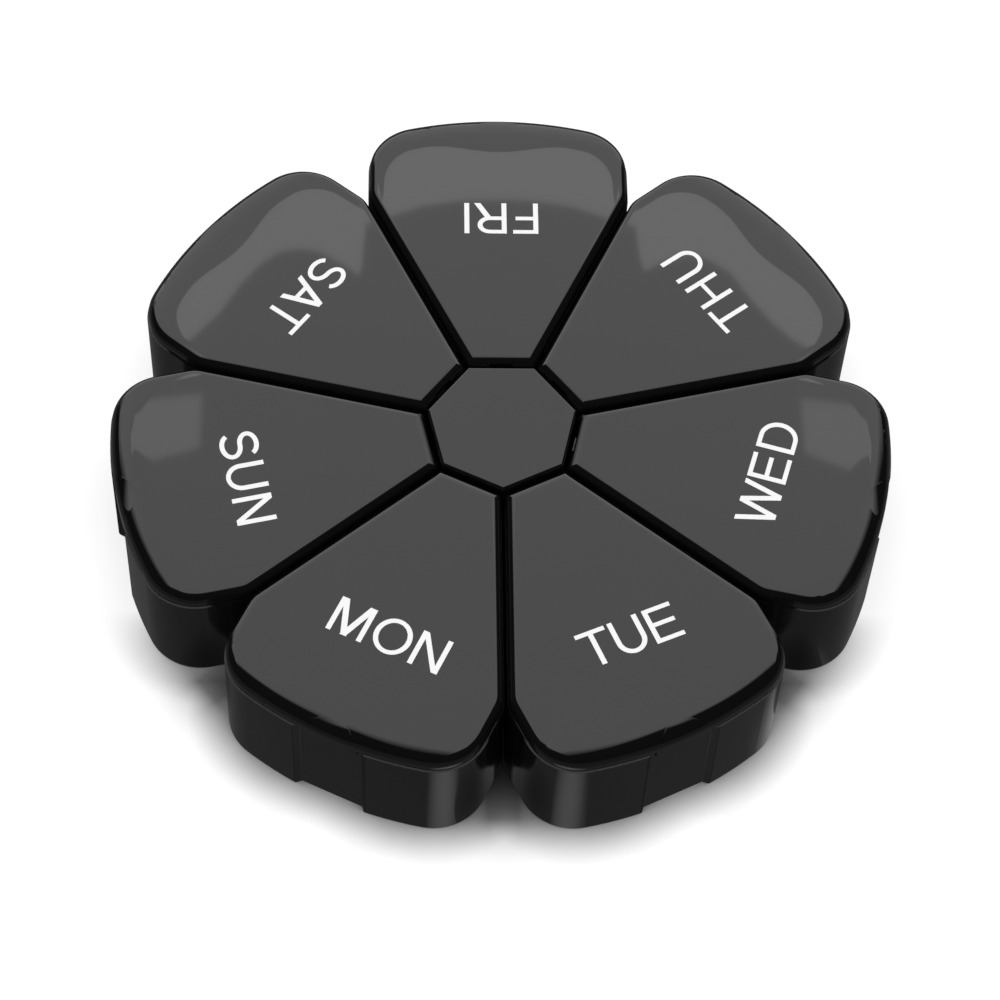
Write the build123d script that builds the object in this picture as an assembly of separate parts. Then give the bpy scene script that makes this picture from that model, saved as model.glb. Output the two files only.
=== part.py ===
from build123d import *
import os
from math import atan, cos, degrees, radians, sin, sqrt, tan

# Weekly pill organizer: seven petal shaped day boxes round a seven sided hub.
# Each box has a lid hinged on a pin beside the hub, and pulls straight out of its socket in the hub.
# Millimetres, +Z up. The origin is the middle of the underside. Friday lies along +Y, and the other
# days follow it anticlockwise as seen from above.

# Driving dimensions

DAYS = ["friday", "saturday", "sunday", "monday", "tuesday", "wednesday", "thursday"]
FIRST_ANGLE = 90.0

# Petal outline of a box, seen from above
BOX_RADIUS = 52.95
BOX_HALF_WIDTH = 18.45
CORNER_SHARE = 0.66
SHOULDER_RADIUS = 4.0
PETAL_GAP = 0.3
HUB_GAP = 0.4

# Box
BOX_HEIGHT = 16.0
WALL = 1.4
FLOOR = 1.5
SCOOP_RADIUS = 2.0
FOOT_CHAMFER = 0.2
RIM_RADIUS = 0.2

# Finger recess down the middle of the outer wall
RECESS_DEPTH = 0.95
RECESS_HALF_WIDTH = 4.4
RECESS_FLARE = 0.9

# Lid
LID_THICKNESS = 1.8
LID_INSET = 0.2
LID_EDGE_RADIUS = 1.1
PLUG_DEPTH = 1.5
PLUG_THICKNESS = 1.0
PLUG_CLEARANCE = 0.3
TAB_DROP = 1.1
TAB_SIDE_CLEARANCE = 0.4
TAB_BACK_CLEARANCE = 0.15
THUMB_DIP_DEPTH = 0.2
THUMB_DIP_HALF_WIDTH = 3.6
THUMB_DIP_LENGTH = 2.6

# Hinge
BARREL_RADIUS = 1.5
BARREL_CLEARANCE = 0.2
BARREL_FRONT_CLEARANCE = 0.4
PIN_RADIUS = 0.5
PIN_END_INSET = 0.8
PIN_PRESS_CLEARANCE = 0.01
PIN_RUNNING_CLEARANCE = 0.05
EAR_RADIUS = 0.9
EAR_STEM_WIDTH = 1.5
EAR_WIDTH = 2.8
EAR_SIDE_CLEARANCE = 0.15
EAR_SWING_CLEARANCE = 0.15

# Hub and its cap
HUB_APOTHEM = 9.4
CAP_THICKNESS = 2.0
CAP_EDGE_RADIUS = 0.4
STEM_RADIUS = 2.5
STEM_LENGTH = 5.0
STEM_END_GAP = 0.5
STEM_PRESS_CLEARANCE = 0.01

# Tongue of a box and its socket in the hub
TONGUE_WIDTH = 3.6
TONGUE_HEIGHT = 3.6
TONGUE_LENGTH = 3.4
TONGUE_BOTTOM = 4.0
TONGUE_CLEARANCE = 0.12
SOCKET_END_GAP = 0.2

# Places that follow from the driving dimensions

STEP = 360.0 / len(DAYS)
HALF_STEP = radians(STEP / 2)
TOP = BOX_HEIGHT + LID_THICKNESS
FLANK_LENGTH = sqrt(BOX_RADIUS**2 - BOX_HALF_WIDTH**2) - BOX_HALF_WIDTH / tan(HALF_STEP)
BOX_CORNER_RADIUS = CORNER_SHARE * FLANK_LENGTH
PETAL_INNER = HUB_APOTHEM + HUB_GAP
AXIS_U = PETAL_INNER + BARREL_RADIUS
AXIS_Z = TOP - BARREL_RADIUS
SILL_TOP = AXIS_Z - BARREL_RADIUS - BARREL_CLEARANCE
SILL_END = AXIS_U + BARREL_RADIUS + BARREL_FRONT_CLEARANCE
RECESS_FACE = BOX_RADIUS - RECESS_DEPTH
LID_RADIUS = BOX_RADIUS - LID_INSET
LID_SIDE_INSET = PETAL_GAP / 2 + LID_INSET
HUB_HEIGHT = TOP - CAP_THICKNESS
REACH = 2 * BOX_RADIUS


def petal(inner, inset, half_width, radius, corner, shoulder):
    """Face of a petal along +X: two sides beside the rays between petals, a shoulder, straight flanks
    and an arc about the hub's middle. inset is how far the sides stand in from those rays."""
    slope = tan(HALF_STEP)
    back = inset / cos(HALF_STEP)
    shoulder_u = (half_width + back) / slope
    inner_v = inner * slope - back
    points = [
        (inner, inner_v),
        (inner, -inner_v),
        (shoulder_u, -half_width),
        (REACH, -half_width),
        (REACH, half_width),
        (shoulder_u, half_width),
    ]
    face = make_face(Polyline(*points, close=True)) & Circle(radius)
    flank_end = sqrt(radius**2 - half_width**2)
    outer = face.vertices().filter_by_position(Axis.X, (shoulder_u + flank_end) / 2, REACH)
    face = fillet(outer, corner)
    middle = face.vertices().filter_by_position(Axis.X, shoulder_u - 0.01, shoulder_u + 0.01)
    return fillet(middle, shoulder)


def slab(face, low, high):
    """A face in plan made solid from one height to another."""
    return Pos(0, 0, low) * extrude(face, high - low)


def block(u0, u1, half_width, low, high):
    """A block along +X, even about the petal's middle plane."""
    return Pos((u0 + u1) / 2, 0, (low + high) / 2) * Box(u1 - u0, 2 * half_width, high - low)


def rod(radius, length):
    """A cylinder along the hinge axis, even about the petal's middle plane."""
    return Pos(AXIS_U, 0, AXIS_Z) * Rot(90, 0, 0) * Cylinder(radius, length)


def heptagon(apothem):
    """Face of the hub, with one flat towards each petal."""
    corner = apothem / cos(HALF_STEP)
    angles = [radians(FIRST_ANGLE + STEP * (i + 0.5)) for i in range(len(DAYS))]
    return make_face(Polyline(*[(corner * cos(a), corner * sin(a)) for a in angles], close=True))


def recess():
    """Space of the finger recess: a flat floor across the arc, with ends that flare outwards."""
    outer_half = RECESS_HALF_WIDTH + RECESS_FLARE
    points = [
        (RECESS_FACE, -RECESS_HALF_WIDTH),
        (BOX_RADIUS, -outer_half),
        (BOX_RADIUS, outer_half),
        (RECESS_FACE, RECESS_HALF_WIDTH),
    ]
    return slab(make_face(Polyline(*points, close=True)), -1, TOP + 1)


def ear():
    """Hinge ear on the box: a round eye about the pin on a straight stem that stands on the sill."""
    eye = rod(EAR_RADIUS, EAR_WIDTH)
    stem = block(AXIS_U - EAR_STEM_WIDTH / 2, AXIS_U + EAR_STEM_WIDTH / 2, EAR_WIDTH / 2, FLOOR, AXIS_Z)
    return eye + stem


def day_box():
    """Open box of one day, its rim rounded, with hinge ear, recess in the outer wall and tongue."""
    inset = PETAL_GAP / 2
    outside = petal(PETAL_INNER, inset, BOX_HALF_WIDTH, BOX_RADIUS, BOX_CORNER_RADIUS, SHOULDER_RADIUS)
    body = slab(outside, 0, BOX_HEIGHT)
    body = chamfer(body.faces().sort_by(Axis.Z)[0].edges(), FOOT_CHAMFER)
    body = fillet(body.faces().sort_by(Axis.Z)[-1].edges(), RIM_RADIUS)
    body -= recess()
    inside = petal(
        SILL_END,
        inset + WALL,
        BOX_HALF_WIDTH - WALL,
        RECESS_FACE - WALL,
        BOX_CORNER_RADIUS - WALL,
        SHOULDER_RADIUS - WALL,
    )
    hollow = slab(inside, FLOOR, BOX_HEIGHT + WALL)
    hollow = fillet(hollow.faces().sort_by(Axis.Z)[0].edges(), SCOOP_RADIUS)
    body -= hollow
    body -= block(0, SILL_END, BOX_HALF_WIDTH, SILL_TOP, TOP)
    body += ear()
    body -= rod(PIN_RADIUS + PIN_RUNNING_CLEARANCE, 2 * EAR_WIDTH)
    tongue_top = TONGUE_BOTTOM + TONGUE_HEIGHT
    body += block(PETAL_INNER - TONGUE_LENGTH, SILL_END, TONGUE_WIDTH / 2, TONGUE_BOTTOM, tongue_top)
    return body


def plug():
    """Rim under the lid that drops just inside the box and seats it."""
    sizes = []
    for inward in (PLUG_CLEARANCE, PLUG_CLEARANCE + PLUG_THICKNESS):
        inset = PETAL_GAP / 2 + WALL + inward
        half_width = BOX_HALF_WIDTH - WALL - inward
        radius = RECESS_FACE - WALL - inward
        corner = BOX_CORNER_RADIUS - WALL - inward
        shoulder = SHOULDER_RADIUS - WALL - inward
        sizes.append(petal(SILL_END + inward, inset, half_width, radius, corner, shoulder))
    low = BOX_HEIGHT - PLUG_DEPTH
    return slab(sizes[0], low, BOX_HEIGHT) - slab(sizes[1], low - 1, BOX_HEIGHT)


def lid_blank():
    """Plate and barrel of the lid, with rounded upper edges on all sides but the barrel's."""
    half_width = BOX_HALF_WIDTH - LID_INSET
    corner = BOX_CORNER_RADIUS - LID_INSET
    outline = petal(PETAL_INNER / 2, LID_SIDE_INSET, half_width, LID_RADIUS, corner, SHOULDER_RADIUS)
    envelope = slab(outline, 0, TOP)
    upper_edges = envelope.faces().sort_by(Axis.Z)[-1].edges().sort_by(Axis.X)
    envelope = fillet(upper_edges[1:], LID_EDGE_RADIUS)
    plate = block(AXIS_U, REACH, REACH, BOX_HEIGHT, TOP)
    return (plate + rod(BARREL_RADIUS, REACH)) & envelope


def thumb_dip():
    """Long round tool that cuts a small shallow dip, deepest at the lid's rim, where a thumb lifts it."""
    radius = (THUMB_DIP_HALF_WIDTH**2 + THUMB_DIP_DEPTH**2) / (2 * THUMB_DIP_DEPTH)
    slope = atan(THUMB_DIP_DEPTH / THUMB_DIP_LENGTH)
    start = LID_RADIUS - THUMB_DIP_LENGTH
    middle = Pos(start + radius * sin(slope), 0, TOP + radius * cos(slope))
    return middle * Rot(0, 90 + degrees(slope), 0) * Cylinder(radius, REACH)


def day_lid():
    """Lid of one day: a plate with rounded edges, a barrel, a plug rim and a finger tab."""
    lid = lid_blank() - thumb_dip() + plug()
    tab_half = RECESS_HALF_WIDTH - TAB_SIDE_CLEARANCE
    tab_low = BOX_HEIGHT - TAB_DROP
    tab = block(RECESS_FACE + TAB_BACK_CLEARANCE, REACH, tab_half, tab_low, BOX_HEIGHT)
    lid += tab & Pos(0, 0, BOX_HEIGHT) * Cylinder(LID_RADIUS, 2 * LID_THICKNESS)
    slot_half = EAR_WIDTH / 2 + EAR_SIDE_CLEARANCE
    eye_room = EAR_RADIUS + EAR_SWING_CLEARANCE
    lid -= rod(eye_room, 2 * slot_half)
    lid -= block(0, AXIS_U, slot_half, AXIS_Z - REACH, AXIS_Z + eye_room)
    lid -= block(0, AXIS_U + eye_room, slot_half, AXIS_Z - REACH, AXIS_Z)
    lid -= rod(PIN_RADIUS + PIN_PRESS_CLEARANCE, REACH)
    return lid


def hinge_pin():
    """Plain steel pin that the lid's barrel holds and the box's ear turns on."""
    barrel_half = AXIS_U * tan(HALF_STEP) - LID_SIDE_INSET / cos(HALF_STEP)
    return rod(PIN_RADIUS, 2 * (barrel_half - PIN_END_INSET))


def hub():
    """Seven sided hub with a socket in each flat and a bore for the cap's stem."""
    body = slab(heptagon(HUB_APOTHEM), 0, HUB_HEIGHT)
    body = chamfer(body.faces().sort_by(Axis.Z)[0].edges(), FOOT_CHAMFER)
    half = TONGUE_WIDTH / 2 + TONGUE_CLEARANCE
    low = TONGUE_BOTTOM - TONGUE_CLEARANCE
    high = TONGUE_BOTTOM + TONGUE_HEIGHT + TONGUE_CLEARANCE
    socket = block(PETAL_INNER - TONGUE_LENGTH - SOCKET_END_GAP, PETAL_INNER, half, low, high)
    for i in range(len(DAYS)):
        body -= Rot(0, 0, FIRST_ANGLE + STEP * i) * socket
    bore = STEM_LENGTH + STEM_END_GAP
    body -= Pos(0, 0, HUB_HEIGHT - bore / 2) * Cylinder(STEM_RADIUS + STEM_PRESS_CLEARANCE, bore)
    return body


def hub_cap():
    """Flat seven sided cap over the hub, held by a round stem."""
    plate = slab(heptagon(HUB_APOTHEM), HUB_HEIGHT, TOP)
    plate = fillet(plate.faces().sort_by(Axis.Z)[-1].edges(), CAP_EDGE_RADIUS)
    return plate + Pos(0, 0, HUB_HEIGHT - STEM_LENGTH / 2) * Cylinder(STEM_RADIUS, STEM_LENGTH)


os.makedirs("parts", exist_ok=True)
export_step(hub(), "parts/hub.step")
export_step(hub_cap(), "parts/hub_cap.step")
pieces = {"box": day_box(), "lid": day_lid(), "hinge_pin": hinge_pin()}
for i, day in enumerate(DAYS):
    for name, solid in pieces.items():
        export_step(Rot(0, 0, FIRST_ANGLE + STEP * i) * solid, f"parts/{day}_{name}.step")
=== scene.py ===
import math

import bpy
import numpy as np
from mathutils import Matrix


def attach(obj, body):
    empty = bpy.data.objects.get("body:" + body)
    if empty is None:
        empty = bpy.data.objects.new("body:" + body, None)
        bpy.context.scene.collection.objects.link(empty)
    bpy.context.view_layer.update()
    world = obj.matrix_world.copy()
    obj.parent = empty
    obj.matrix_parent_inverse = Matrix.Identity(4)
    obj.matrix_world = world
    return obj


# Weekly pill organizer: seven black petal boxes round a seven sided hub, each with a glossy hinged lid.
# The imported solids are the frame. This script dresses them, prints the day names and sets the studio.

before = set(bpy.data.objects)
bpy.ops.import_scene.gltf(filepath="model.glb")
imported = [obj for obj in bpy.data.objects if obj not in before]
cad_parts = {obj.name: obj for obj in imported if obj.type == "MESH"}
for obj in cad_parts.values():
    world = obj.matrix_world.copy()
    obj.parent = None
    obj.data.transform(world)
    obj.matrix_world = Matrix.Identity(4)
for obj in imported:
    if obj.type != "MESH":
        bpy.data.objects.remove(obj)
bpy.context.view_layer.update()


# Camera
# Stands in front of the organizer and well above it, looking down at about 58 degrees.

EYE = (-0.01519, -0.24795, 0.39139)
RIGHTWARD = (0.9994, -0.0127, 0.0313)
FORWARD = (0.0333, 0.5335, -0.8451)

camera_data = bpy.data.cameras.new("camera")
camera_data.lens = 119.36
camera_data.sensor_width = 36.0
camera_data.clip_start = 0.01
camera_data.clip_end = 20.0
camera = bpy.data.objects.new("camera", camera_data)
right = np.array(RIGHTWARD)
forward = np.array(FORWARD)
forward /= np.linalg.norm(forward)
right -= forward * (right @ forward)
right /= np.linalg.norm(right)
upward = np.cross(right, forward)
pose = np.eye(4)
pose[:3, 0] = right
pose[:3, 1] = upward
pose[:3, 2] = -forward
pose[:3, 3] = EYE
camera.matrix_world = Matrix(pose.tolist())
bpy.context.collection.objects.link(camera)
bpy.context.scene.camera = camera
bpy.context.scene.view_settings.view_transform = "Standard"


# Studio
# Even white light for matt things, and a white sheet under the organizer. Gloss sees a dark room with a pale
# wall behind the organizer, a bright panel hung on that wall with a smaller one on either side, a dark table,
# and low cards that put soft streaks on the box walls; the dark ones are painted shade, for the notches'
# shadow.

DAYS = ["friday", "saturday", "sunday", "monday", "tuesday", "wednesday", "thursday"]
PER_METRE = 1000.0
LID_TOP = 0.0178
EVEN_LIGHT = 1.0
WALL_LIGHT = 1.29
PANEL_LIGHT = 2.30
SIDE_PANEL_LIGHT = 2.0
CEILING_LIGHT = 0.02
TABLE_LIGHT = 0.10

# How steeply and how far round the wall reaches, in degrees, and how softly it ends. It brightens from
# LIFT_START downwards over LIFT_HEIGHT, by WALL_LIFT for each unit, where 1 is straight up and 0 level.
WALL_STEEP = 79.0
WALL_STEEP_SOFT = 11.0
WALL_TURN = 42.0
WALL_TURN_SOFT = 10.0
WALL_LIFT = 1.9
LIFT_START = 0.87
LIFT_HEIGHT = 0.07

# The bright panel, as the flat lids mirror it, in millimetres across and back on the plane of their tops:
# half its width, and its lower edge from left to right
PANEL_HALF = 45.2
PANEL_EDGE = [
    (-60, 0), (-50, 7), (-42.3, 13.9), (-38.7, 18.2), (-36.1, 22.8), (-33.3, 26.5), (-30.7, 28.6),
    (-27.9, 29.2), (-25.1, 28.7), (-21.6, 26.4), (-19.3, 24.3), (-18.9, 33.5), (-15.9, 34.8), (-10.6, 36.9),
    (-5, 37.9), (0, 38.1), (5, 37.9), (10.6, 36.9), (15.9, 34.8), (19.4, 33.5), (19.8, 25.6), (23.1, 27.6),
    (26.7, 28.7), (29.1, 28.0), (32.2, 25.7), (34.7, 21.4), (37.3, 17.6), (39.9, 14.7), (50, 7), (60, 0),
]

# Its upper edge by the distance from the middle, on both sides. The first point only begins the row.
PANEL_TOP = [
    (-60, 47.6), (0, 47.6), (2, 47.7), (4, 48.0), (6, 48.3), (8, 48.5), (10, 48.4), (13, 47.6), (14.5, 46.4),
    (15.8, 44.3), (18, 38.5), (20, 37.6), (24, 40.4), (26, 40.7), (29, 39.8), (31, 38.2), (33, 35.6),
    (36, 30.6), (39, 27.4), (42, 24.6), (44, 21.3), (47, 13.0), (60, 0),
]

# Side panels on the same plane: inner side, outer side, lower edge and its slope, upper edge and its slope.
# Farther out the lower edge falls only by SIDE_PANEL_SPREAD.
SIDE_PANEL_SPREAD = 0.16
SIDE_PANELS = [
    (-40.7, -95.0, -4.0, 0.354, 4.65, 0.136),
    (40.8, 95.0, -4.3, -0.467, 4.5, -0.127),
]


def link(tree, source, output, target, socket):
    """Join one node's output to another node's input."""
    tree.links.new(source.outputs[output], target.inputs[socket])


def maths(tree, operation, *inputs, limit=False):
    """Math node. Each input is a number, a socket, or a node whose first output is used."""
    node = tree.nodes.new("ShaderNodeMath")
    node.operation = operation
    node.use_clamp = limit
    for i, value in enumerate(inputs):
        if isinstance(value, (int, float)):
            node.inputs[i].default_value = value
        else:
            source = value if isinstance(value, bpy.types.NodeSocket) else value.outputs[0]
            tree.links.new(source, node.inputs[i])
    return node


def times(tree, first, *others):
    """Product of two or more values."""
    product = first
    for factor in others:
        product = maths(tree, "MULTIPLY", product, factor)
    return product


def length(tree, a, b):
    """sqrt(a^2 + b^2)."""
    return maths(tree, "SQRT", maths(tree, "ADD", times(tree, a, a), times(tree, b, b)))


def step(tree, value, edge, soft):
    """0 below edge and 1 above it, changing evenly over soft: (value - edge) / soft + 1/2, limited. A
    negative soft gives 1 below the edge and 0 above it."""
    above = maths(tree, "SUBTRACT", value, edge)
    return maths(tree, "MULTIPLY_ADD", above, 1.0 / soft, 0.5, limit=True)


def ramp(tree, across, points):
    """Height of an edge, straight between its points, which run from -span to span across."""
    span = 60.0
    node = tree.nodes.new("ShaderNodeValToRGB")
    link(tree, maths(tree, "MULTIPLY_ADD", across, 0.5 / span, 0.5), "Value", node, "Fac")
    stops = node.color_ramp.elements
    for place, level in points:
        share = place / (2.0 * span) + 0.5
        stop = stops[0] if share == 0.0 else stops[-1] if share == 1.0 else stops.new(share)
        stop.color = (level / span, level / span, level / span, 1.0)
    return maths(tree, "MULTIPLY", node, span)


def grey(tree, value, socket):
    """Give a colour socket the grey whose three parts are a node's value."""
    colour = tree.nodes.new("ShaderNodeCombineColor")
    for channel in ("Red", "Green", "Blue"):
        link(tree, value, 0, colour, channel)
    tree.links.new(colour.outputs["Color"], socket)


def make_panels(tree, x, y, z):
    """Masks of the bright panel and of the side panels. For a glossy ray in direction (x, y, z), the place
    on the plane of the lids' tops that mirrors it to the camera is (x / z, y / z) * height + (cx, cy), with
    the camera at (cx, cy) and height above the plane, so the panels' edges are given on that plane."""
    rise = maths(tree, "MAXIMUM", z, 0.001)
    eye = camera.matrix_world.translation * PER_METRE
    height = eye.z - LID_TOP * PER_METRE
    across = maths(tree, "MULTIPLY_ADD", maths(tree, "DIVIDE", x, rise), height, eye.x)
    back = maths(tree, "MULTIPLY_ADD", maths(tree, "DIVIDE", y, rise), height, eye.y)
    aside = maths(tree, "ABSOLUTE", across)
    over_edge = step(tree, back, ramp(tree, across, PANEL_EDGE), soft=0.7)
    under_top = step(tree, back, ramp(tree, aside, PANEL_TOP), soft=-1.2)
    panel = times(tree, over_edge, under_top, step(tree, aside, PANEL_HALF, soft=-1.4))
    sides = []
    for inner, outer, low, low_slope, high, high_slope in SIDE_PANELS:
        out = maths(tree, "SUBTRACT", across, inner)
        lower = maths(tree, "MULTIPLY_ADD", out, low_slope, low)
        lower = maths(tree, "MAXIMUM", lower, times(tree, aside, -SIDE_PANEL_SPREAD))
        upper = maths(tree, "MULTIPLY_ADD", out, high_slope, high)
        away = times(tree, out, math.copysign(1.0, outer))
        begun = step(tree, away, 0.0, soft=0.6)
        ended = step(tree, away, abs(outer - inner), soft=-6.0)
        tall = times(tree, step(tree, back, lower, soft=0.8), step(tree, back, upper, soft=-0.8))
        sides.append(times(tree, begun, ended, tall))
    return panel, maths(tree, "MAXIMUM", *sides)


def make_room(tree, x, y, z):
    """Light of the room in direction (x, y, z): the table below, the dark ceiling above, and the wall in
    directions that point back, not too steeply and not too far round."""
    above = step(tree, z, 0.02, soft=0.04)
    steep = maths(tree, "ARCTAN2", z, y)
    turn = maths(tree, "ABSOLUTE", maths(tree, "ARCTAN2", x, y))
    wall = times(
        tree,
        step(tree, steep, math.radians(WALL_STEEP), soft=math.radians(-WALL_STEEP_SOFT)),
        step(tree, turn, math.radians(WALL_TURN), soft=math.radians(-WALL_TURN_SOFT)),
        above,
    )
    lower_down = maths(tree, "MAXIMUM", maths(tree, "SUBTRACT", LIFT_START, z), 0.0)
    lower_down = maths(tree, "MINIMUM", lower_down, LIFT_HEIGHT)
    brightness = maths(tree, "MULTIPLY_ADD", lower_down, WALL_LIFT, WALL_LIGHT)
    room = maths(tree, "MULTIPLY_ADD", above, CEILING_LIGHT - TABLE_LIGHT, TABLE_LIGHT)
    return maths(tree, "MULTIPLY_ADD", wall, brightness, room)


def make_world():
    """World: white to the camera, the room with its panels to gloss, and even light to everything else."""
    world = bpy.data.worlds.new("studio")
    bpy.context.scene.world = world
    world.use_nodes = True
    tree = world.node_tree
    tree.nodes.clear()
    output = tree.nodes.new("ShaderNodeOutputWorld")
    sky = tree.nodes.new("ShaderNodeBackground")
    link(tree, sky, "Background", output, "Surface")
    rays = tree.nodes.new("ShaderNodeLightPath")
    place = tree.nodes.new("ShaderNodeTexCoord")
    axes = tree.nodes.new("ShaderNodeSeparateXYZ")
    link(tree, place, "Generated", axes, 0)
    panel, sides = make_panels(tree, *axes.outputs)
    room = make_room(tree, *axes.outputs)
    room = maths(tree, "MULTIPLY_ADD", panel, PANEL_LIGHT - WALL_LIGHT, room)
    room = maths(tree, "MULTIPLY_ADD", sides, SIDE_PANEL_LIGHT - WALL_LIGHT, room)
    for_gloss = tree.nodes.new("ShaderNodeMix")
    for_gloss.data_type = "RGBA"
    for_gloss.inputs["A"].default_value = (EVEN_LIGHT, EVEN_LIGHT, EVEN_LIGHT, 1.0)
    link(tree, rays, "Is Glossy Ray", for_gloss, "Factor")
    grey(tree, room, for_gloss.inputs["B"])
    for_camera = tree.nodes.new("ShaderNodeMix")
    for_camera.data_type = "RGBA"
    for_camera.inputs["B"].default_value = (1.0, 1.0, 1.0, 1.0)
    link(tree, rays, "Is Camera Ray", for_camera, "Factor")
    link(tree, for_gloss, "Result", for_camera, "A")
    link(tree, for_camera, "Result", sky, "Color")


def object_axes(tree):
    """The three object coordinates, in metres."""
    place = tree.nodes.new("ShaderNodeTexCoord")
    axes = tree.nodes.new("ShaderNodeSeparateXYZ")
    link(tree, place, "Object", axes, 0)
    return axes.outputs


def petal_place(tree):
    """Where a point lies, in millimetres: r from the hub's middle, v from its petal's middle line, gap
    from the ray between two petals, and z. v = r * sin(turn) and gap = r * sin(half - turn), where turn
    is the angle from the middle line and half the angle from it to the ray."""
    x, y, z = [times(tree, axis, PER_METRE) for axis in object_axes(tree)]
    r = length(tree, x, y)
    half = math.pi / len(DAYS)
    turn = maths(tree, "ABSOLUTE", maths(tree, "WRAP", maths(tree, "ARCTAN2", x, y), half, -half))
    v = times(tree, r, maths(tree, "SINE", turn))
    gap = times(tree, r, maths(tree, "SINE", maths(tree, "SUBTRACT", half, turn)))
    return r, v, gap, z


# White sheet: half its side in metres, its colour and the light that it adds to the camera
SHEET_HALF = 2.0
SHEET_COLOUR = 0.30
SHEET_GLOW = 0.80

# Shade on it close to the organizer: reach in metres, power, and where it sets in along Y, in metres
SHADE_REACH = 0.0058
SHADE_POWER = 2.35
SHADE_FRONT = -0.0245
SHADE_FRONT_SOFT = 0.011

# Shade in the notches between the boxes: reach in metres, depth, and in millimetres how far it goes from the
# hub's middle and from the ray between two boxes, fading over NOTCH_SOFT
NOTCH_REACH = 0.014
NOTCH_DEPTH = 0.82
NOTCH_OUTSIDE = 54.0
NOTCH_HALF = 5.5
NOTCH_SOFT = 7.0


def open_sky(tree, reach):
    """Share of the sky that nothing within this reach hides."""
    node = tree.nodes.new("ShaderNodeAmbientOcclusion")
    node.inputs["Distance"].default_value = reach
    node.samples = 16
    return node.outputs["AO"]


def make_floor():
    """Flat white sheet under the organizer, which gloss doesn't see. Close to the organizer it darkens by
    how much of the sky is hidden within a short reach, and to the camera the more so in front, where the
    shadow falls: tone = colour * open + glow * open^(power * front). In the notches between two boxes it
    is darker still, by how much is hidden within a longer reach, 2 * (1 - open) and at most 1, fading with
    the distance from the hub's middle and from the ray."""
    mesh = bpy.data.meshes.new("floor")
    half = SHEET_HALF
    corners = [(-half, -half, 0), (half, -half, 0), (half, half, 0), (-half, half, 0)]
    mesh.from_pydata(corners, [], [(0, 1, 2, 3)])
    floor = bpy.data.objects.new("floor", mesh)
    bpy.context.collection.objects.link(floor)
    white = bpy.data.materials.new("white_sheet")
    white.use_nodes = True
    tree = white.node_tree
    shader = tree.nodes["Principled BSDF"]
    shader.inputs["Roughness"].default_value = 0.9
    shader.inputs["Specular IOR Level"].default_value = 0.0
    shader.inputs["Emission Color"].default_value = (1.0, 1.0, 1.0, 1.0)
    front = step(tree, object_axes(tree)[1], SHADE_FRONT, soft=-SHADE_FRONT_SOFT)
    near = open_sky(tree, SHADE_REACH)
    hidden = maths(tree, "MULTIPLY_ADD", open_sky(tree, NOTCH_REACH), -2.0, 2.0, limit=True)
    r, _, gap, _ = petal_place(tree)
    between_boxes = times(
        tree,
        step(tree, r, NOTCH_OUTSIDE, soft=-NOTCH_SOFT),
        step(tree, gap, NOTCH_HALF, soft=-NOTCH_SOFT),
    )
    notch = times(tree, between_boxes, front, hidden)
    shade = maths(tree, "MULTIPLY_ADD", notch, -NOTCH_DEPTH, 1.0)
    grey(tree, times(tree, near, shade, SHEET_COLOUR), shader.inputs["Base Color"])
    clear = times(tree, maths(tree, "POWER", near, times(tree, front, SHADE_POWER)), shade)
    rays = tree.nodes.new("ShaderNodeLightPath")
    glow = times(tree, rays.outputs["Is Camera Ray"], clear, SHEET_GLOW)
    link(tree, glow, "Value", shader, "Emission Strength")
    mesh.materials.append(white)
    floor.visible_glossy = False


def glow_card(name, centre, radius, light):
    """Round card below the boxes that only gloss sees. It gives soft upright streaks on the box walls, or,
    where light is below zero, dark ones that are painted shade: brightness = table + light * (1 - (distance /
    radius)^2)."""
    corners = 48
    t = np.linspace(0, 2 * math.pi, corners, endpoint=False)
    ring = np.stack([radius * np.cos(t), radius * np.sin(t), 0 * t], 1)
    mesh = bpy.data.meshes.new(name)
    mesh.from_pydata((ring + np.array(centre)).tolist(), [], [list(range(corners))])
    card = bpy.data.objects.new(name, mesh)
    bpy.context.collection.objects.link(card)
    shine = bpy.data.materials.new(name)
    shine.use_nodes = True
    tree = shine.node_tree
    tree.nodes.clear()
    output = tree.nodes.new("ShaderNodeOutputMaterial")
    glow = tree.nodes.new("ShaderNodeEmission")
    link(tree, glow, "Emission", output, "Surface")
    place = tree.nodes.new("ShaderNodeTexCoord")
    apart = tree.nodes.new("ShaderNodeVectorMath")
    apart.operation = "DISTANCE"
    apart.inputs[1].default_value = centre
    link(tree, place, "Object", apart, 0)
    share = maths(tree, "DIVIDE", apart.outputs["Value"], radius)
    fade = maths(tree, "SUBTRACT", 1.0, times(tree, share, share), limit=True)
    strength = maths(tree, "MULTIPLY_ADD", fade, light, TABLE_LIGHT)
    link(tree, strength, "Value", glow, "Strength")
    mesh.materials.append(shine)
    card.visible_camera = False
    card.visible_diffuse = False
    card.visible_shadow = False


make_world()
make_floor()
glow_card("front_card", (0.004, -0.0835, -0.052), radius=0.021, light=0.44)
glow_card("right_card", (0.046, -0.031, -0.020), radius=0.011, light=0.28)
# Painted shade: the three dark cards stand for the shaded floor in the notches between the boxes, as the box
# walls mirror it.
glow_card("front_notch_shade_card", (0.0, -0.0495, -0.001), radius=0.006, light=-0.055)
glow_card("left_notch_shade_card", (-0.039, -0.029, -0.001), radius=0.006, light=-0.060)
glow_card("right_notch_shade_card", (0.040, -0.030, -0.001), radius=0.005, light=-0.060)


# Boxes and hub
# Moulded black plastic, smooth but not polished: a fine even grain and slightly uneven gloss. The outer rims
# of the boxes carry a painted highlight, a slightly lighter colour. The mould was left unpolished where the
# finger recesses slant and where two boxes face each other.

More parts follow.
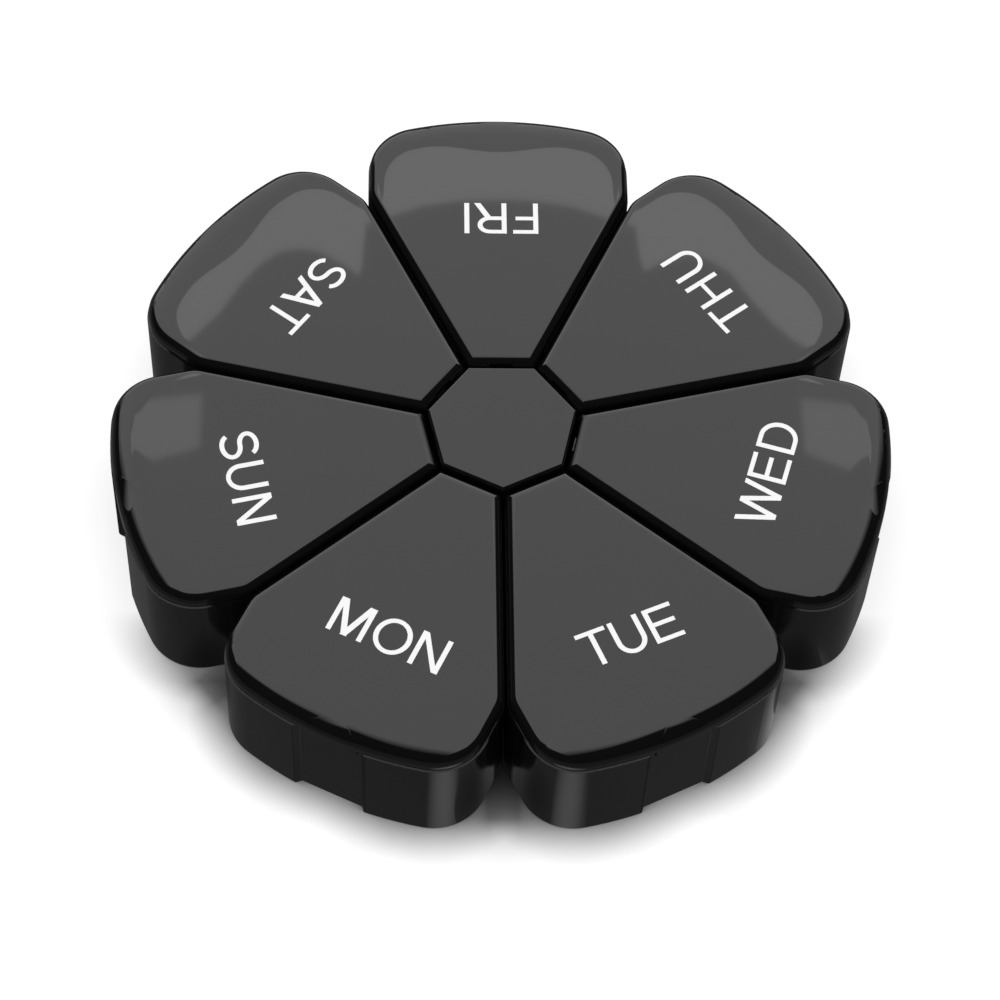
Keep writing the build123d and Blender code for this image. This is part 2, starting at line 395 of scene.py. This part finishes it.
# The plastic's tone, its index of refraction, its uneven patches to a metre, the specular level of a polished
# face and the roughness of an unpolished one
BLACK = 0.0032
PLASTIC_IOR = 1.58
CLOUDS_PER_METRE = 120.0
FULL_SHINE = 0.5
UNPOLISHED = 0.6

# Painted highlight on the boxes' outer rims, in millimetres: over this height and this far from the hub's
# middle
RIM_START = 15.82
RIM_OUTSIDE = 47.5
RIM_HIGHLIGHT_TONE = 0.05

# Slanted sides of a finger recess, in millimetres: this far from the hub's middle, and between these
# distances from the box's middle line. They keep some of their gloss.
RECESS_OUTSIDE = 50.0
RECESS_SIDE = (4.42, 5.28)
RECESS_SHARE = 0.6

# Walls that face a neighbour lie this near to the ray between the two, in millimetres
FACING = 1.2
FACING_SOFT = 0.4


def cloudy(tree, scale, detail):
    """Noise on the object coordinates, with about this many clouds to a metre."""
    place = tree.nodes.new("ShaderNodeTexCoord")
    node = tree.nodes.new("ShaderNodeTexNoise")
    node.inputs["Scale"].default_value = scale
    node.inputs["Detail"].default_value = detail
    link(tree, place, "Object", node, "Vector")
    return node


def between(tree, noise, low, high):
    """Value that follows a noise from low to high."""
    node = tree.nodes.new("ShaderNodeMapRange")
    node.inputs["To Min"].default_value = low
    node.inputs["To Max"].default_value = high
    link(tree, noise, 0, node, "Value")
    return node


def relief(tree, height, depth):
    """Bump node: the surface stands depth metres higher where the height is 1 than where it is 0."""
    node = tree.nodes.new("ShaderNodeBump")
    node.inputs["Distance"].default_value = depth
    node.inputs["Strength"].default_value = 1.0
    link(tree, height, 0, node, "Height")
    return node


def black_plastic(name, gloss, grain_size, grain_depth):
    """Near black plastic. Roughness is gloss, a fifth more or less by a cloudy noise, and the surface
    rises and falls by a noise of grain_depth metres whose grains are about grain_size metres."""
    material = bpy.data.materials.new(name)
    material.use_nodes = True
    tree = material.node_tree
    shader = tree.nodes["Principled BSDF"]
    cloud = cloudy(tree, CLOUDS_PER_METRE, detail=4.0)
    grey(tree, between(tree, cloud, BLACK * 0.8, BLACK * 1.25), shader.inputs["Base Color"])
    link(tree, between(tree, cloud, gloss * 0.8, gloss * 1.2), "Result", shader, "Roughness")
    grain = cloudy(tree, 1.0 / grain_size, detail=2.0)
    link(tree, relief(tree, grain, grain_depth), "Normal", shader, "Normal")
    shader.inputs["IOR"].default_value = PLASTIC_IOR
    return material


def dress(node, material):
    """Give a carried over node this material in every slot."""
    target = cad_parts[node]
    if not target.material_slots:
        target.data.materials.append(material)
    for slot in target.material_slots:
        slot.material = material


def dull(tree, where):
    """Where the mask is 1 the plastic is unpolished: rougher, and with a quarter of the shine."""
    shader = tree.nodes["Principled BSDF"]
    blend = tree.nodes.new("ShaderNodeMix")
    blend.inputs["B"].default_value = UNPOLISHED
    tree.links.new(shader.inputs["Roughness"].links[0].from_socket, blend.inputs["A"])
    link(tree, where, "Value", blend, "Factor")
    link(tree, blend, "Result", shader, "Roughness")
    shine = maths(tree, "MULTIPLY_ADD", where, -0.75 * FULL_SHINE, FULL_SHINE)
    link(tree, shine, "Value", shader, "Specular IOR Level")


satin = black_plastic("satin_black_plastic", gloss=0.14, grain_size=0.0007, grain_depth=0.0000015)
for node in ["hub"] + [f"{day}_box" for day in DAYS]:
    dress(node, satin)

tree = satin.node_tree
shader = tree.nodes["Principled BSDF"]
r, v, gap, z = petal_place(tree)
# Painted highlight: the outer rims of the boxes get a lighter colour.
painted_rim_highlight = times(tree, step(tree, z, RIM_START, soft=0.04), step(tree, r, RIM_OUTSIDE, soft=1.0))
blend = tree.nodes.new("ShaderNodeMix")
blend.data_type = "RGBA"
blend.inputs["B"].default_value = (RIM_HIGHLIGHT_TONE, RIM_HIGHLIGHT_TONE, RIM_HIGHLIGHT_TONE, 1.0)
tree.links.new(shader.inputs["Base Color"].links[0].from_socket, blend.inputs["A"])
link(tree, painted_rim_highlight, "Value", blend, "Factor")
link(tree, blend, "Result", shader, "Base Color")
slant = times(
    tree,
    step(tree, v, RECESS_SIDE[0], soft=0.1),
    step(tree, v, RECESS_SIDE[1], soft=-0.1),
    step(tree, r, RECESS_OUTSIDE, soft=0.3),
    RECESS_SHARE,
)
dull(tree, maths(tree, "MAXIMUM", slant, step(tree, gap, FACING, soft=-FACING_SOFT)))


# Lids and hub cap
# The same black plastic out of a polished mould, so they mirror the room, with the faint slow waves that
# moulding leaves. Each lid's top slopes very slightly down in a border along its outer edge and sides. Where
# two lids face each other the mould was left unpolished, as on the boxes.

# Where that border begins, in millimetres: from the hub's middle at the lid's side, how much nearer at its
# middle line, over what half width that fades, from the middle line, and the radius of its corners. It bends
# by this many degrees in each millimetre.
BORDER_RADIUS = 48.4
BORDER_WAVE = 1.85
BORDER_WAVE_HALF = 10.6
BORDER_SIDE = 16.1
BORDER_CORNER = 3.9
BORDER_BEND = 0.6

# Where it starts to bend faster at the outer edge and by how many degrees in each millimetre, and where that
# starts in the thumb dip, whose outline is v^2 = DIP_SHAPE * (r - DIP_START)
EDGE_START = 49.65
EDGE_BEND = 6.0
DIP_EDGE = 50.2
DIP_START = 50.15
DIP_SHAPE = 4.985
DIP_SOFT = 0.8


def slope(tree, height, waves):
    """Slopes of a height in millimetres, on top of the plastic's own waves."""
    bump = relief(tree, height, 1.0 / PER_METRE)
    tree.links.new(waves, bump.inputs["Normal"])
    return bump


def bend_past(tree, distance, degrees):
    """Fall of a surface that is flat up to distance 0 and then bends evenly, in degrees for each unit:
    -bend / 2 * max(0, distance)^2, with bend in radians."""
    past = maths(tree, "MAXIMUM", distance, 0.0)
    return times(tree, past, past, -0.5 * math.radians(degrees))


def make_border(tree, r, v):
    """Slopes of the lid's top, in millimetres. With r the distance from the hub's middle and v that from
    the lid's middle line, q = sqrt(max(0, (r - r0) / c)^2 + max(0, (v - v0) / c)^2), and the surface bends
    down by bend / 2 * (c * max(0, q - 1))^2, then faster near the outer edge. The border is wider at the
    middle: r0 is less there by wave * (1 + cos(pi * min(v, half) / half)) / 2. In the thumb dip, where
    v^2 < shape * (r - start), it only bends down near the edge, because the dip slopes by itself."""
    c = BORDER_CORNER
    swing = times(tree, maths(tree, "MINIMUM", v, BORDER_WAVE_HALF), math.pi / BORDER_WAVE_HALF)
    wave = maths(tree, "MULTIPLY_ADD", maths(tree, "COSINE", swing), BORDER_WAVE / 2, BORDER_WAVE / 2)
    a = maths(tree, "MULTIPLY_ADD", maths(tree, "ADD", r, wave), 1 / c, -(BORDER_RADIUS - c) / c)
    b = maths(tree, "MULTIPLY_ADD", v, 1 / c, -(BORDER_SIDE - c) / c)
    q = length(tree, maths(tree, "MAXIMUM", a, 0.0), maths(tree, "MAXIMUM", b, 0.0))
    fall = bend_past(tree, maths(tree, "MULTIPLY_ADD", q, c, -c), BORDER_BEND)
    edge = bend_past(tree, maths(tree, "SUBTRACT", r, EDGE_START), EDGE_BEND)
    dip_edge = bend_past(tree, maths(tree, "SUBTRACT", r, DIP_EDGE), EDGE_BEND)
    inside = times(tree, maths(tree, "SUBTRACT", r, DIP_START), DIP_SHAPE)
    inside = maths(tree, "SUBTRACT", inside, times(tree, v, v))
    shader = tree.nodes["Principled BSDF"]
    waves = shader.inputs["Normal"].links[0].from_socket
    both = tree.nodes.new("ShaderNodeMix")
    both.data_type = "VECTOR"
    link(tree, step(tree, inside, 0.0, soft=DIP_SOFT), "Value", both, "Factor")
    link(tree, slope(tree, maths(tree, "ADD", fall, edge), waves), "Normal", both, "A")
    link(tree, slope(tree, dip_edge, waves), "Normal", both, "B")
    link(tree, both, "Result", shader, "Normal")


def upright(tree):
    """1 on faces that stand upright and 0 on level ones, from the height part of the face's direction."""
    face = tree.nodes.new("ShaderNodeNewGeometry")
    axes = tree.nodes.new("ShaderNodeSeparateXYZ")
    link(tree, face, "Normal", axes, 0)
    return step(tree, maths(tree, "ABSOLUTE", axes.outputs[2]), 0.6, soft=-0.2)


polished = black_plastic("polished_black_plastic", gloss=0.022, grain_size=0.009, grain_depth=0.0000003)
dress("hub_cap", polished)

lid_plastic = black_plastic("polished_lid_plastic", gloss=0.022, grain_size=0.009, grain_depth=0.0000003)
tree = lid_plastic.node_tree
r, v, gap, _ = petal_place(tree)
make_border(tree, r, v)
dull(tree, times(tree, step(tree, gap, FACING, soft=-FACING_SOFT), upright(tree)))
for day in DAYS:
    dress(f"{day}_lid", lid_plastic)


# Hinge pins
# Plain drawn steel wire, hidden in the lids' barrels.

steel = bpy.data.materials.new("drawn_steel")
steel.use_nodes = True
tree = steel.node_tree
shader = tree.nodes["Principled BSDF"]
shader.inputs["Metallic"].default_value = 1.0
lines = cloudy(tree, 900.0, detail=2.0)
grey(tree, between(tree, lines, low=0.48, high=0.62), shader.inputs["Base Color"])
link(tree, between(tree, lines, low=0.22, high=0.42), "Result", shader, "Roughness")
for day in DAYS:
    dress(f"{day}_hinge_pin", steel)


# Day names
# White pad print on each lid, read from outside the ring: a film of ink a few hundredths of a millimetre
# thick. Every letter is made of plain strokes, in cap heights, from its left foot.

CAP_HEIGHT = 0.0053
STEM = 0.130
ARM = 0.116
WAIST = 0.52
INK = 0.00003
INK_STEP = 0.000003
ARC_POINTS = 33
OVAL_POINTS = 60


def bar(x0, y0, x1, y1, wide):
    """Straight stroke with level ends: left edge from (x0, y0) to (x1, y1), right edge wide further on."""
    left = np.array([(x0, y0), (x1, y1)], float)
    return left, left + (wide, 0.0)


def arm(x0, x1, y, thick):
    """Level stroke from x0 to x1 whose lower edge is at y."""
    left = np.array([(x0, y), (x1, y)], float)
    return left, left + (0.0, thick)


def arc(cx, cy, rx, ry, start, stop, wide, high):
    """Curved stroke between an ellipse of radii rx, ry and one smaller by wide and high, from angle
    start to stop in degrees."""
    t = np.radians(np.linspace(start, stop, ARC_POINTS))
    circle = np.stack([np.cos(t), np.sin(t)], 1)
    return (cx, cy) + circle * (rx, ry), (cx, cy) + circle * (rx - wide, ry - high)


def spine(points, thick):
    """Curved stroke of even thickness along a centre line: each edge is the line moved half the
    thickness along its normal."""
    along = np.gradient(points, axis=0)
    along /= np.linalg.norm(along, axis=1)[:, None]
    normal = np.stack([-along[:, 1], along[:, 0]], 1) * thick / 2
    return points + normal, points - normal


def letter_s(width):
    """Centre line of an S: two ovals that meet at the waist, the upper one a little narrower and open to
    the right, the lower one open to the left."""
    thick = 0.5 * (STEM + ARM)
    rx = (width - thick) / 2
    cx = width / 2
    lower = np.radians(np.linspace(200, 450, OVAL_POINTS))
    upper = np.radians(np.linspace(270, 20, OVAL_POINTS))
    ry_low = (WAIST - thick / 2) / 2
    ry_high = (1.0 - thick / 2 - WAIST) / 2
    a = np.stack([cx + rx * np.cos(lower), thick / 2 + ry_low + ry_low * np.sin(lower)], 1)
    b = np.stack([cx + rx * 0.94 * np.cos(upper), WAIST + ry_high + ry_high * np.sin(upper)], 1)
    return spine(np.concatenate([a[:-1], b]), thick)


LETTERS = {
    "A": [bar(0, 0, 0.375, 1, 0.15), bar(0.75, 0, 0.375, 1, 0.15), arm(0.17, 0.73, 0.29, ARM)],
    "D": [bar(0, 0, 0, 1, STEM), arm(0.1, 0.4, 0, ARM), arm(0.1, 0.4, 1 - ARM, ARM),
          arc(0.38, 0.5, 0.48, 0.5, -90, 90, STEM, ARM)],
    "E": [bar(0, 0, 0, 1, STEM), arm(0.1, 0.76, 0, ARM), arm(0.1, 0.70, 0.46, ARM),
          arm(0.1, 0.75, 1 - ARM, ARM)],
    "F": [bar(0, 0, 0, 1, STEM), arm(0.1, 0.60, 0.44, ARM), arm(0.1, 0.67, 1 - ARM, ARM)],
    "H": [bar(0, 0, 0, 1, STEM), bar(0.79 - STEM, 0, 0.79 - STEM, 1, STEM), arm(0.1, 0.7, 0.46, ARM)],
    "I": [bar(0, 0, 0, 1, STEM)],
    "M": [bar(0, 0, 0, 1, STEM), bar(0.96 - STEM, 0, 0.96 - STEM, 1, STEM),
          bar(0.412, 0, 0.035, 1, 0.16), bar(0.388, 0, 0.765, 1, 0.16)],
    "N": [bar(0, 0, 0, 1, STEM), bar(0.80 - STEM, 0, 0.80 - STEM, 1, STEM), bar(0.645, 0, 0, 1, 0.155)],
    "O": [arc(0.485, 0.5, 0.485, 0.515, 0, 360, STEM, ARM)],
    "R": [bar(0, 0, 0, 1, STEM), arm(0.1, 0.45, 0.44, ARM), arm(0.1, 0.45, 1 - ARM, ARM),
          arc(0.44, 0.72, 0.33, 0.28, -90, 90, STEM, ARM), bar(0.69, 0, 0.40, 0.47, 0.17)],
    "S": [letter_s(0.78)],
    "T": [bar(0.395 - STEM / 2, 0, 0.395 - STEM / 2, 1, STEM), arm(0, 0.79, 1 - ARM, ARM)],
    "U": [bar(0, 0.37, 0, 1, STEM), bar(0.79 - STEM, 0.37, 0.79 - STEM, 1, STEM),
          arc(0.395, 0.38, 0.395, 0.395, 180, 360, STEM, ARM)],
    "W": [bar(0.27, 0, 0, 1, 0.14), bar(0.27, 0, 0.57, 1, 0.14),
          bar(0.87, 0, 0.57, 1, 0.14), bar(0.87, 0, 1.14, 1, 0.14)],
}

# Word, middle of its foot line in metres (v along the reading direction, u outwards), its turn in degrees
# and the left edge of each letter in cap heights
WORDS = {
    "friday": ("FRI", (-0.0055, 0.03745), 0.0, (0.0, 0.84, 1.83)),
    "saturday": ("SAT", (-0.0065, 0.0371), 1.5, (0.0, 0.84, 1.72)),
    "sunday": ("SUN", (-0.0064, 0.0380), 0.0, (0.0, 0.95, 1.95)),
    "monday": ("MON", (-0.0073, 0.0389), 0.0, (0.0, 1.12, 2.22)),
    "tuesday": ("TUE", (-0.0066, 0.0389), -2.5, (0.0, 0.88, 1.82)),
    "wednesday": ("WED", (-0.0080, 0.0385), -4.0, (0.0, 1.36, 2.30)),
    "thursday": ("THU", (-0.0077, 0.0392), -1.8, (0.0, 0.95, 1.98)),
}

ink = bpy.data.materials.new("white_ink")
ink.use_nodes = True
tree = ink.node_tree
shader = tree.nodes["Principled BSDF"]
cover = cloudy(tree, 2500.0, detail=4.0)
grey(tree, between(tree, cover, low=0.90, high=1.0), shader.inputs["Base Color"])
shader.inputs["Roughness"].default_value = 0.5
link(tree, relief(tree, cover, depth=0.000004), "Normal", shader, "Normal")


def stroke_mesh(left, right, low, high):
    """Closed film between two edges: the four corners (left, low), (right, low), (right, high),
    (left, high) carried along the stroke, with both ends filled."""
    n = len(left)
    flat = np.stack([left, right, right, left], 1)
    tall = np.broadcast_to(np.array([low, low, high, high])[None, :, None], (n, 4, 1))
    points = np.concatenate([flat, tall], 2).reshape(-1, 3)
    i = np.arange(n - 1)[:, None] * 4
    j = np.arange(4)[None, :]
    k = (j + 1) % 4
    sides = np.stack([i + j, i + k, i + 4 + k, i + 4 + j], 2).reshape(-1, 4)
    ends = np.array([[3, 2, 1, 0], [4 * n - 4, 4 * n - 3, 4 * n - 2, 4 * n - 1]])
    return points, np.concatenate([sides, ends])


def word_mesh(word, starts):
    """Strokes of a word's letters, in cap heights, as one mesh. In a letter each stroke's film is
    INK_STEP thicker than the one before, so that their tops don't lie in one plane where they cross."""
    points = []
    faces = []
    count = 0
    for start, letter in zip(starts, word):
        for order, (left, right) in enumerate(LETTERS[letter]):
            p, q = stroke_mesh(left + (start, 0.0), right + (start, 0.0), 0.0, INK + order * INK_STEP)
            points.append(p)
            faces.append(q + count)
            count += len(p)
    return np.concatenate(points), np.concatenate(faces)


for index, day in enumerate(DAYS):
    word, (v, u), turn, starts = WORDS[day]
    points, faces = word_mesh(word, starts)
    points[:, :2] *= CAP_HEIGHT
    tilt = math.radians(turn)
    along = points[:, 0] * math.cos(tilt) - points[:, 1] * math.sin(tilt) + v
    outward = u - (points[:, 0] * math.sin(tilt) + points[:, 1] * math.cos(tilt))
    angle = math.radians(90.0 + 360.0 / len(DAYS) * index)
    placed = np.stack([
        outward * math.cos(angle) - along * math.sin(angle),
        outward * math.sin(angle) + along * math.cos(angle),
        LID_TOP + points[:, 2],
    ], 1)
    mesh = bpy.data.meshes.new(f"{day}_name")
    mesh.from_pydata(placed.tolist(), [], faces.tolist())
    mesh.materials.append(ink)
    piece = bpy.data.objects.new(f"{day}_name", mesh)
    bpy.context.collection.objects.link(piece)
    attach(piece, f"{day}_lid")
